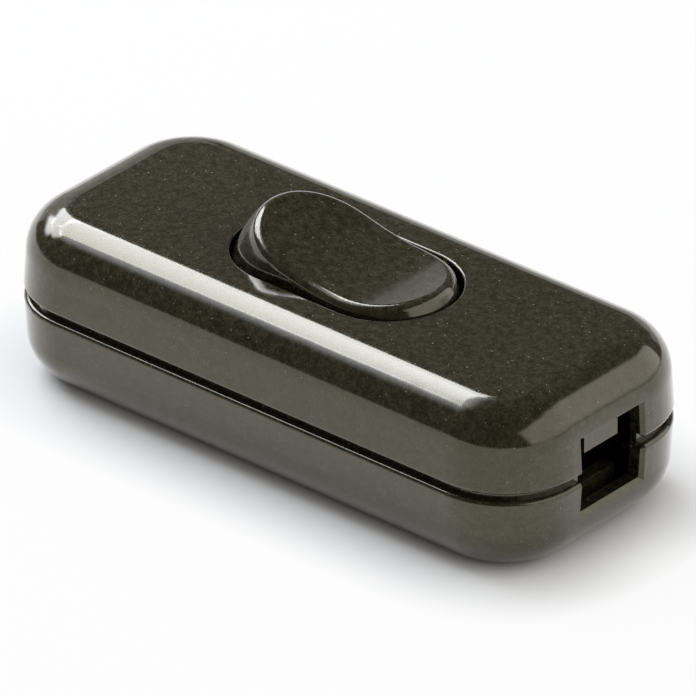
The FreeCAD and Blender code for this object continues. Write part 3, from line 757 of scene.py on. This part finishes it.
@dataclass(frozen=True)
class SoftPanel:
    """A diffusing studio panel, placed by where it stands as seen from the switch."""

    name: str
    centre: tuple[float, float, float]
    across: float
    upright: float
    radiance: float
    hex_code: str = "#FFFFFF"
    fades: Fades = Fades()

    def dim_edges(self, lamp: bpy.types.AreaLight) -> None:
        """Lets the light die away towards the edges that have a fade.

        Args:
            lamp: the panel's lamp.
        """
        lamp.use_nodes = True
        tree = lamp.node_tree
        panel = add_node(tree, "NewGeometry")
        spot = add_node(tree, "SeparateXYZ", None, {0: panel.outputs["Parametric"]})
        sides = (
            (spot.outputs["X"], 0.0, self.fades.left),
            (spot.outputs["X"], 1.0, -self.fades.right),
            (spot.outputs["Y"], 0.0, self.fades.foot),
            (spot.outputs["Y"], 1.0, -self.fades.head),
        )
        level: Union[float, bpy.types.NodeSocket] = 1.0
        for place, edge, inward in sides:
            if not inward:
                continue
            rise = add_node(
                tree,
                "MapRange",
                {"interpolation_type": "SMOOTHSTEP"},
                {"Value": place, "From Min": edge, "From Max": edge + inward},
            )
            both = add_node(tree, "Math", {"operation": "MULTIPLY"}, {0: rise.outputs[0], 1: level})
            level = both.outputs[0]
        tree.links.new(level, tree.nodes["Emission"].inputs["Strength"])

    def place(self) -> bpy.types.Object:
        """Adds the panel as an area lamp that faces the switch.

        Returns:
            The lamp's object.
        """
        lamp = bpy.data.lights.new(self.name, "AREA")
        lamp.shape = "RECTANGLE"
        lamp.size = self.across
        lamp.size_y = self.upright
        lamp.energy = self.radiance * math.pi * self.across * self.upright
        lamp.color = linear(self.hex_code)[:3]
        if self.fades != Fades():
            self.dim_edges(lamp)
        panel = bpy.data.objects.new(self.name, lamp)
        panel.location = self.centre
        panel.rotation_mode = "QUATERNION"
        panel.rotation_quaternion = (-Vector(self.centre)).to_track_quat("-Z", "Y")
        panel.visible_camera = False
        bpy.context.scene.collection.objects.link(panel)
        LOG.info("%s: %.2f W", self.name, lamp.energy)
        return panel


@dataclass
class Studio:
    """The white table, the panels round it, the dim room and the camera."""

    table_half: float = 4.0
    table_cells: int = 8
    # The table lies just under the switch, so that their faces never fall together.
    table_drop: float = 0.00005
    room_hex: str = "#5E5B54"
    azimuth: float = 40.708
    elevation: float = 29.862
    distance: float = 1.2897
    lens_mm: float = 774.76
    sensor_mm: float = 36.0
    sees_from: float = 0.05
    sees_to: float = 20.0
    aim: tuple[float, float, float] = (0.0, 0.0, 0.008)
    slide_mm: tuple[float, float] = (0.1214, -0.1765)
    paint: PaintedTable = PaintedTable()
    # Where the reflections in the picture show that lamps stood, and how bright and cool they were.
    panels: tuple[SoftPanel, ...] = (
        SoftPanel("key_softbox", (-0.339, 0.060, 0.435), 0.40, 0.17, 8.0, KEY_HEX),
        SoftPanel("key_lower_left", (-0.417, 0.136, 0.325), 0.24, 0.15, 6.4, KEY_HEX),
        SoftPanel(
            "key_low_turn",
            (-0.502, 0.017, 0.224),
            0.29,
            0.125,
            6.2,
            KEY_HEX,
            Fades(left=0.2, right=0.2, foot=0.5),
        ),
        SoftPanel(
            "key_left_turn", (-0.432, -0.076, 0.325), 0.21, 0.125, 6.6, KEY_HEX, Fades(right=0.25)
        ),
        SoftPanel(
            "key_upper",
            (-0.258, -0.009, 0.486),
            0.40,
            0.22,
            2.8,
            "#DCE7FF",
            Fades(right=0.3, foot=0.42, head=0.56),
        ),
        SoftPanel(
            "key_edge",
            (-0.315, -0.211, 0.418),
            0.165,
            0.17,
            3.6,
            "#D8E4FF",
            Fades(right=1.0, foot=0.5),
        ),
        SoftPanel("back_left_foot", (-0.515, 0.604, 0.105), 1.20, 0.20, 0.4),
        SoftPanel("back_left_wall", (-0.645, 0.372, 0.293), 0.53, 0.20, 0.35),
        SoftPanel(
            "back_right_wall",
            (0.615, 0.313, 0.315),
            1.80,
            0.84,
            1.30,
            fades=Fades(left=0.1, foot=0.3, head=0.14),
        ),
    )

    def lay_table(self) -> bpy.types.Object:
        """Builds the table top that the switch lies on.

        Returns:
            The table's object.
        """
        mesh = bpy.data.meshes.new("studio_table")
        shape = bmesh.new()
        cells = self.table_cells
        bmesh.ops.create_grid(shape, x_segments=cells, y_segments=cells, size=self.table_half)
        bmesh.ops.translate(shape, verts=shape.verts, vec=(0.0, 0.0, -self.table_drop))
        shape.to_mesh(mesh)
        shape.free()
        table = bpy.data.objects.new("studio_table", mesh)
        bpy.context.scene.collection.objects.link(table)
        mesh.materials.append(self.paint.make())
        LOG.info("studio_table: %s", self.paint.name)
        return table

    def dim_room(self) -> None:
        """Fills the room round the panels with a dim, even light."""
        world = bpy.data.worlds.new("dim_room")
        world.use_nodes = True
        world.node_tree.nodes["Background"].inputs["Color"].default_value = linear(self.room_hex)
        bpy.context.scene.world = world

    def set_camera(self) -> bpy.types.Object:
        """Sets a long lens where the picture was taken from.

        Returns:
            The camera's object.
        """
        turn, rise = math.radians(self.azimuth), math.radians(self.elevation)
        level = math.cos(rise)
        back = Vector((math.sin(turn) * level, -math.cos(turn) * level, math.sin(rise)))
        right = Vector((math.cos(turn), math.sin(turn), 0.0))
        above = back.cross(right)
        lens = bpy.data.cameras.new("long_lens")
        lens.lens = self.lens_mm
        lens.sensor_width = self.sensor_mm
        lens.clip_start, lens.clip_end = self.sees_from, self.sees_to
        camera = bpy.data.objects.new("long_lens", lens)
        shift = (right * self.slide_mm[0] + above * self.slide_mm[1]) * MM
        camera.location = Vector(self.aim) + back * self.distance + shift
        camera.rotation_mode = "QUATERNION"
        camera.rotation_quaternion = (-back).to_track_quat("-Z", "Y")
        bpy.context.scene.collection.objects.link(camera)
        bpy.context.scene.camera = camera
        return camera

    def build(self) -> None:
        """Lays the table, lights it and sets the camera."""
        self.lay_table()
        self.dim_room()
        for panel in self.panels:
            panel.place()
        self.set_camera()
        bpy.context.scene.view_settings.view_transform = "Standard"


@dataclass
class CordSwitch:
    """The whole switch, sub-assembly by sub-assembly."""

    housing: Housing = field(default_factory=Housing)
    rocker: RockerGroup = field(default_factory=RockerGroup)
    contacts: ContactGroup = field(default_factory=ContactGroup)
    terminals: TerminalGroup = field(default_factory=TerminalGroup)

    def build(self) -> None:
        """Dresses every sub-assembly in turn."""
        self.housing.dress()
        self.rocker.dress()
        self.contacts.dress()
        self.terminals.dress()


def main() -> None:
    """Builds the switch and its studio."""
    logging.basicConfig(level=logging.INFO, format="%(name)s %(message)s")
    CordSwitch().build()
    Studio().build()


if __name__ == "__main__":
    main()
